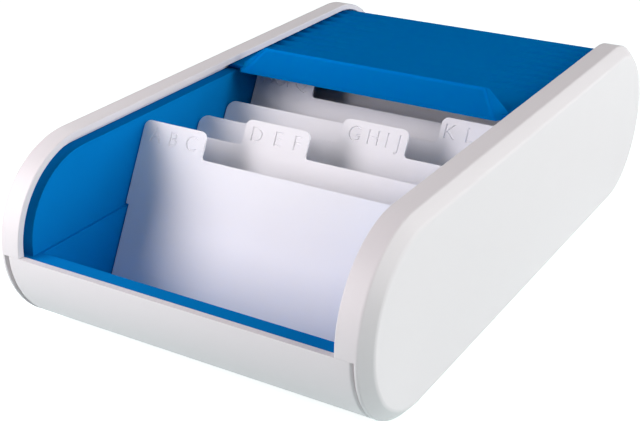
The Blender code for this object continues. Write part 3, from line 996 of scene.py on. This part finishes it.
@dataclass
class IndexDivider:
    """Frosted divider that leans back on the ledges, with letters pressed into its tab."""

    order: int
    letters: str
    tab_left: float
    tab_right: float
    thick: float = 0.0008
    lean: float = math.radians(28)
    foot_y: float = -0.0827
    pitch: float = 0.0184
    foot_z: float = 0.0073
    wide: float = 0.0575
    narrow: float = 0.0562
    shoulder_z: float = 0.03329
    body_z: float = 0.0521
    tab_z: float = 0.0607
    corner: float = 0.0040
    tab_corner: float = 0.0026
    fillet: float = 0.0012
    foot_corner: float = 0.0006
    shoulder_corner: float = 0.0004
    round_segments: int = 8
    edge_cut: float = 0.00016
    edge_segments: int = 2
    letter_height: float = 0.0056
    letter_depth: float = 0.00045
    letter_slope: float = 0.00020
    letter_drop: float = 0.0020
    row: float = 0.0206
    row_shift: float = 0.0002

    @property
    def node(self) -> str:
        """Name of the frame's node."""
        return "divider_" + self.letters.lower()

    @property
    def placement(self) -> Matrix:
        """From the flat divider, standing in the XZ plane on its foot, to its place."""
        foot = Vector((0.0, self.foot_y + self.order * self.pitch, self.foot_z))
        return Matrix.Translation(foot) @ Matrix.Rotation(-self.lean, 4, "X")

    @property
    def tab_ends(self) -> tuple[float, float]:
        """Where the tab starts and ends in x."""
        left, right = self.tab_left, self.tab_right
        return -self.wide + self.wide * 2 * left, -self.wide + self.wide * 2 * right

    def _up(self, height: float) -> float:
        """Distance up the divider's face to a height in the box."""
        return (height - self.foot_z) / math.cos(self.lean)

    def _corners(self) -> list[Corner]:
        """Outline of the divider.

        Returns:
            Corners in x and up the face.
        """
        left, right = self.tab_ends
        shoulder, body, tab = self._up(self.shoulder_z), self._up(self.body_z), self._up(self.tab_z)
        row = [
            Corner(-self.narrow, 0.0, self.foot_corner),
            Corner(self.narrow, 0.0, self.foot_corner),
            Corner(self.narrow, shoulder),
            Corner(self.wide, shoulder, self.shoulder_corner),
        ]
        if self.tab_right < 1.0:
            row += [Corner(self.wide, body, self.corner), Corner(right, body, self.fillet)]
        row += [Corner(right, tab, self.tab_corner), Corner(left, tab, self.tab_corner)]
        if self.tab_left > 0.0:
            row += [Corner(left, body, self.fillet), Corner(-self.wide, body, self.corner)]
        row += [Corner(-self.wide, shoulder, self.shoulder_corner), Corner(-self.narrow, shoulder)]
        return row

    def build(self) -> bpy.types.Object:
        """Cut the sheet, soften its edges and press the letters into its tab.

        Returns:
            The sheet.
        """
        work = Workpiece(f"{self.node}_sheet")
        half = self.thick / 2
        wire = work.wire(
            self._corners(), lambda x, up: (x, -half, up), closed=True,
            segments=self.round_segments,
        )
        work.thicken(wire, (0.0, self.thick, 0.0))
        broad = [f for f in work.bm.faces if len(f.verts) > self.round_segments]
        work.soften(edges_of(broad), self.edge_cut, self.edge_segments)
        self._engrave(work)
        bmesh.ops.transform(work.bm, matrix=self.placement, verts=work.bm.verts)
        return settle(work.finish(FROSTED_SHEET), self.node, Slot.FROSTED, self.node)

    def _engrave(self, work: Workpiece) -> None:
        """Sink the letters into the front of the tab.

        Args:
            work: The sheet in the making, flat.
        """
        bm = work.bm
        bmesh.ops.recalc_face_normals(bm, faces=bm.faces)
        front = max(bm.faces, key=lambda f: -f.normal.y * f.calc_area())
        bmesh.ops.delete(bm, geom=[front], context="FACES_ONLY")
        bmesh.ops.inset_region(
            bm, faces=self._letters(bm), thickness=self.letter_slope, depth=-self.letter_depth,
            use_boundary=True, use_even_offset=True,
        )
        outline = [edge for edge in bm.edges if edge.is_boundary]
        bmesh.ops.triangle_fill(bm, edges=outline, normal=(0.0, -1.0, 0.0), use_beauty=True)

    def _letters(self, bm: bmesh.types.BMesh) -> list[bmesh.types.BMFace]:
        """Set the letters in the plane of the tab's front, with equal gaps between them.

        Args:
            bm: Mesh that gets them.

        Returns:
            Their faces.
        """
        glyphs = [self._glyph(letter) for letter in self.letters]
        widths = [max(v.co.x for v in g.vertices) for g in glyphs]
        gap = (self.row - sum(widths)) / (len(glyphs) - 1)
        start = (sum(self.tab_ends) - self.row) / 2 + self.row_shift
        low = self._up(self.tab_z) - self.letter_height - self.letter_drop
        upright = Matrix.Rotation(math.radians(90), 4, "X")
        before = set(bm.faces)
        for glyph, width in zip(glyphs, widths):
            glyph.transform(Matrix.Translation((start, -self.thick / 2, low)) @ upright)
            bm.from_mesh(glyph)
            bpy.data.meshes.remove(glyph)
            start += width + gap
        return [face for face in bm.faces if face not in before]

    def _glyph(self, letter: str) -> bpy.types.Mesh:
        """One flat letter with its left foot on the origin.

        Args:
            letter: The letter.

        Returns:
            Its mesh.
        """
        curve = bpy.data.curves.new(letter, "FONT")
        curve.body = letter
        curve.size = self.letter_height / CAPITAL_HEIGHT
        curve.fill_mode = "FRONT"
        text = bpy.data.objects.new(letter, curve)
        bpy.context.scene.collection.objects.link(text)
        bpy.context.view_layer.update()
        shaped = text.evaluated_get(bpy.context.evaluated_depsgraph_get())
        mesh = bpy.data.meshes.new_from_object(shaped)
        bpy.data.objects.remove(text)
        foot = min(v.co.x for v in mesh.vertices)
        mesh.transform(Matrix.Translation((-foot, 0.0, 0.0)))
        return mesh


@dataclass
class DividerSet:
    """The eight dividers, whose tabs step across in four places, twice."""

    letters: tuple[str, ...] = ("ABC", "DEF", "GHIJ", "KLM", "NOPQ", "RST", "UVW", "XYZ")
    tab_left: tuple[float, ...] = (0.0, 0.272, 0.530, 0.791)
    tab_right: tuple[float, ...] = (0.236, 0.505, 0.758, 1.0)

    def build(self) -> list[bpy.types.Object]:
        """Build each divider with its letters.

        Returns:
            The dividers, from the front to the rear.
        """
        places = list(zip(self.tab_left, self.tab_right))
        return [
            IndexDivider(order, word, *places[order % len(places)]).build()
            for order, word in enumerate(self.letters)
        ]


@dataclass(frozen=True)
class Viewpoint:
    """Where the camera stands and what its lens takes in."""

    place: Point = (0.20913483, -0.37281081, 0.21645711)
    turn: Point = (1.14619386, 0.00575675, 0.53647041)
    sensor_width: float = 36.0
    lens: float = 68.81778717
    shift_x: float = -0.01506095
    shift_y: float = -0.02679935
    nearest: float = 0.01


@dataclass
class Studio:
    """Pale floor, soft lamps, white surround and the camera."""

    floor_half: float = 3.0
    floor_colour: Colour = (0.53, 0.65, 0.64)
    floor_glow: float = 0.78
    floor_roughness: float = 0.9
    mirrored: float = 0.6
    lamp_size: float = 0.5
    broad_size: float = 1.1
    distance: float = 1.2
    near: float = 0.6
    front_arc: float = 45.0
    aim: Vector = field(default_factory=lambda: Vector((0.0, 0.0, 0.03)))
    warm: Colour = (1.0, 0.945, 0.975)
    plain: Colour = (1.0, 1.0, 1.0)
    lamps: dict[Light, float] = field(
        default_factory=lambda: {
            Light.HIGH_LEFT: 5.9,
            Light.HIGH_RIGHT: 0.9,
            Light.HIGH_SIDE: 7.2,
            Light.LOW_SIDE: 4.3,
            Light.LOW_REAR: 3.0,
            Light.LOW_LEFT: 5.5,
            Light.FILL_LEFT: 2.6,
        }
    )
    view: Viewpoint = Viewpoint()

    def build(self) -> None:
        """Set up the whole stage."""
        self._floor()
        self._world()
        for lamp, power in self.lamps.items():
            self._lamp(lamp, power)
        self._camera()
        bpy.context.scene.view_settings.view_transform = "Standard"

    def _floor(self) -> None:
        """Plain floor that the camera sees as white but that keeps the shadow."""
        bm = bmesh.new()
        bmesh.ops.create_grid(bm, x_segments=1, y_segments=1, size=self.floor_half)
        mesh = bpy.data.meshes.new("floor")
        bm.to_mesh(mesh)
        bm.free()
        mesh.materials.append(self._floor_material())
        floor = bpy.data.objects.new("floor", mesh)
        bpy.context.scene.collection.objects.link(floor)

    def _floor_material(self) -> bpy.types.Material:
        """Matt pale paint, whitened for the camera and for reflections.

        Returns:
            The material.
        """
        made = bpy.data.materials.new("floor_paint")
        made.use_nodes = True
        tree = made.node_tree
        shader = tree.nodes["Principled BSDF"]
        shader.inputs["Base Color"].default_value = (*self.floor_colour, 1.0)
        shader.inputs["Roughness"].default_value = self.floor_roughness
        shader.inputs["Specular IOR Level"].default_value = 0.0
        shader.inputs["Emission Color"].default_value = (1.0, 1.0, 1.0, 1.0)
        glow = shader.inputs["Emission Strength"]
        self._only_seen(tree, self.floor_glow, self.floor_glow, glow)
        return made

    @staticmethod
    def _only_seen(
        tree: bpy.types.NodeTree, strength: float, mirrored: float, socket: bpy.types.NodeSocket
    ) -> None:
        """Drive a strength by whether the camera, a reflection or a clear piece sees it.

        Args:
            tree: Node tree of the socket.
            strength: Strength that the camera sees, also through a clear piece.
            mirrored: Strength that a reflection sees.
            socket: The strength's socket.
        """
        path = tree.nodes.new("ShaderNodeLightPath")
        level: bpy.types.NodeSocket | None = None
        shares = {
            "Is Camera Ray": strength,
            "Is Glossy Ray": mirrored,
            "Is Transmission Ray": strength,
        }
        for ray, share in shares.items():
            step = tree.nodes.new("ShaderNodeMath")
            step.operation = "MULTIPLY_ADD"
            tree.links.new(path.outputs[ray], step.inputs[0])
            step.inputs[1].default_value = share
            step.inputs[2].default_value = 0.0
            if level is not None:
                tree.links.new(level, step.inputs[2])
            level = step.outputs["Value"]
        least = tree.nodes.new("ShaderNodeMath")
        least.operation = "MINIMUM"
        least.inputs[1].default_value = strength
        tree.links.new(level, least.inputs[0])
        tree.links.new(least.outputs["Value"], socket)

    def _world(self) -> None:
        """White to the camera and in reflections, while the lamps alone light the object."""
        world = bpy.data.worlds.new("studio")
        world.use_nodes = True
        back = world.node_tree.nodes["Background"]
        back.inputs["Color"].default_value = (1.0, 1.0, 1.0, 1.0)
        self._only_seen(world.node_tree, 1.0, self.mirrored, back.inputs["Strength"])
        bpy.context.scene.world = world

    def _lamp(self, lamp: Light, power: float) -> None:
        """One square soft lamp that faces the object.

        Args:
            lamp: Where it stands.
            power: Power in watts that it would need at the far distance.
        """
        data = bpy.data.lights.new(lamp.name.lower() + "_lamp", "AREA")
        reach = self.near if abs(lamp.value[0]) < self.front_arc else self.distance
        data.energy = power * (reach / self.distance) ** 2
        data.color = self.warm if lamp in (Light.HIGH_LEFT, Light.LOW_LEFT) else self.plain
        size = self.broad_size if lamp is Light.HIGH_SIDE else self.lamp_size
        data.size = size * reach / self.distance
        made = bpy.data.objects.new(data.name, data)
        made.location = self.aim + lamp.way * reach
        made.rotation_euler = lamp.way.to_track_quat("Z", "Y").to_euler()
        bpy.context.scene.collection.objects.link(made)

    def _camera(self) -> None:
        """Camera at the photograph's viewing angle."""
        data = bpy.data.cameras.new("camera")
        data.sensor_fit = "HORIZONTAL"
        data.sensor_width = self.view.sensor_width
        data.lens = self.view.lens
        data.shift_x = self.view.shift_x
        data.shift_y = self.view.shift_y
        data.clip_start = self.view.nearest
        camera = bpy.data.objects.new("camera", data)
        camera.location = self.view.place
        camera.rotation_euler = self.view.turn
        bpy.context.scene.collection.objects.link(camera)
        bpy.context.scene.camera = camera


def main() -> None:
    """Load the frame, dress it and set the stage."""
    logging.basicConfig(level=logging.INFO, format="%(name)s %(message)s")
    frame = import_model()
    SidePanel(Side.LEFT).build()
    SidePanel(Side.RIGHT).build()
    BaseTrough().build()
    CardTray().build(frame["nodes"]["inner_tray"])
    RollCover().build()
    FingerLip().build()
    DividerSet().build()
    Studio().build()


if __name__ == "__main__":
    main()
